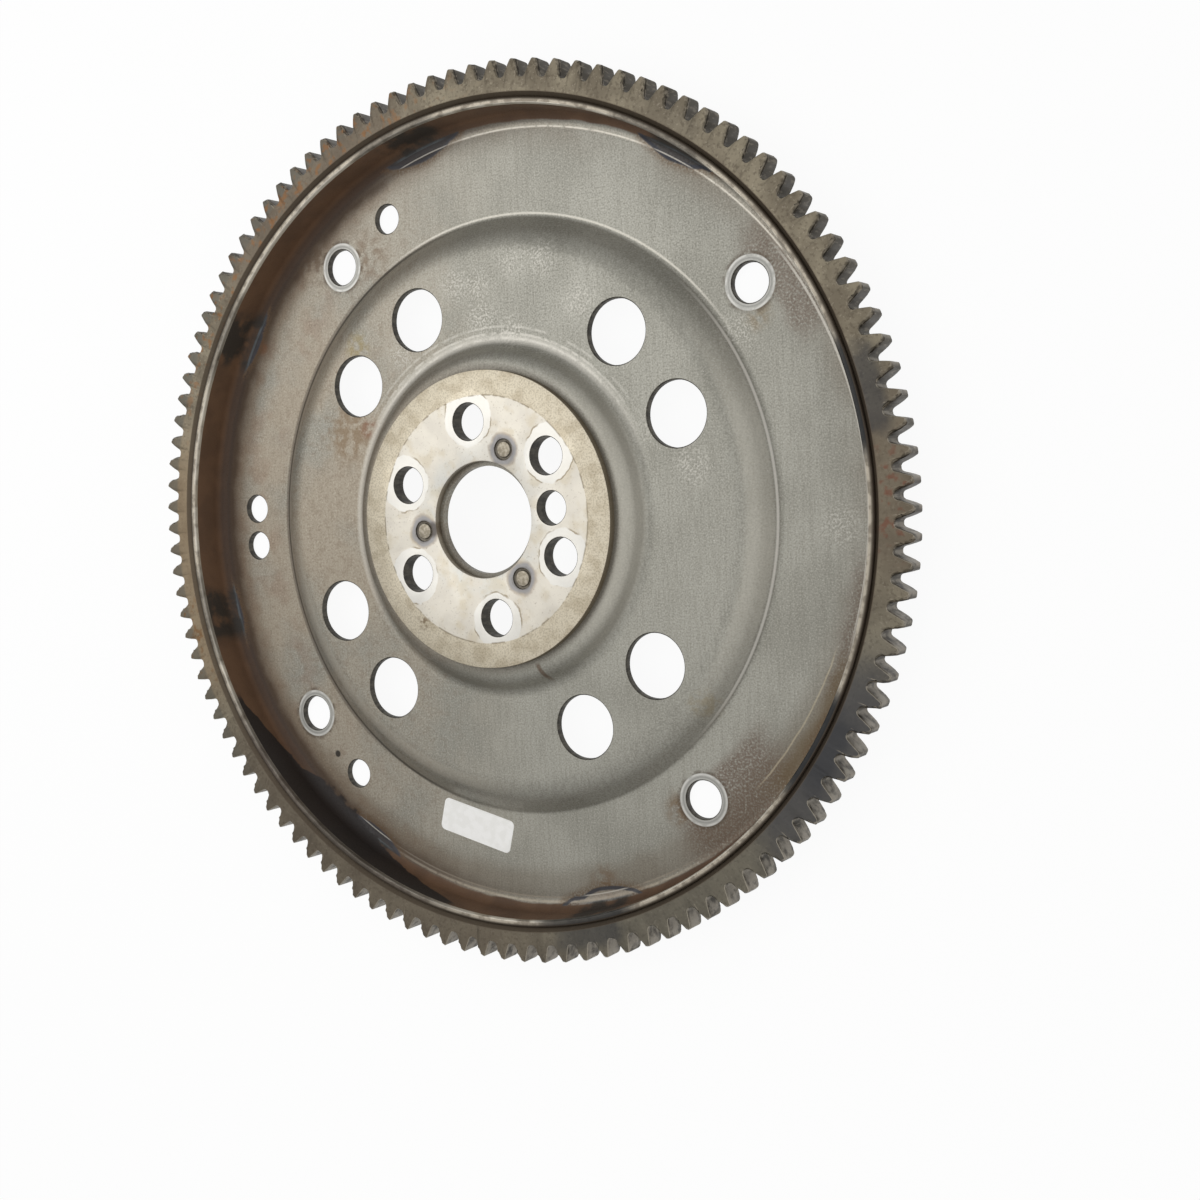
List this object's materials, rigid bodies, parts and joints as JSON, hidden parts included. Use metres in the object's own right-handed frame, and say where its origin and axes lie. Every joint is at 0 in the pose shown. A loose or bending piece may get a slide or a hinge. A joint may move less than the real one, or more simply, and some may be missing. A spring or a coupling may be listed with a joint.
{
  "type": "flexplate",
  "caption": "Flexplate: a stepped pressed steel disc with a raised hub plate and a welded starter ring gear, which bolts a crankshaft to a torque converter.",
  "frame": {"origin": "on the crank axis, on the converter face of the outer annulus, which is the face it rests on", "axes": "+Z along the crank axis towards the engine, +X to the right in the picture"},
  "size_m": [0.2896, 0.2896, 0.0192],
  "materials": {
    "pressed_sheet": "satin, with brown oil varnish",
    "machined_plate": "satin, with clean bolt marks",
    "gear_steel": "dull, stained brown",
    "weld_metal": "rough, heat tinted"
  },
  "bodies": {
    "root": {"disc": "pressed_sheet", "hub_plate": "machined_plate", "ring_gear": "gear_steel", "ring_gear_welds": "weld_metal", "hub_plug_welds": "weld_metal"}
  },
  "joints": []
}
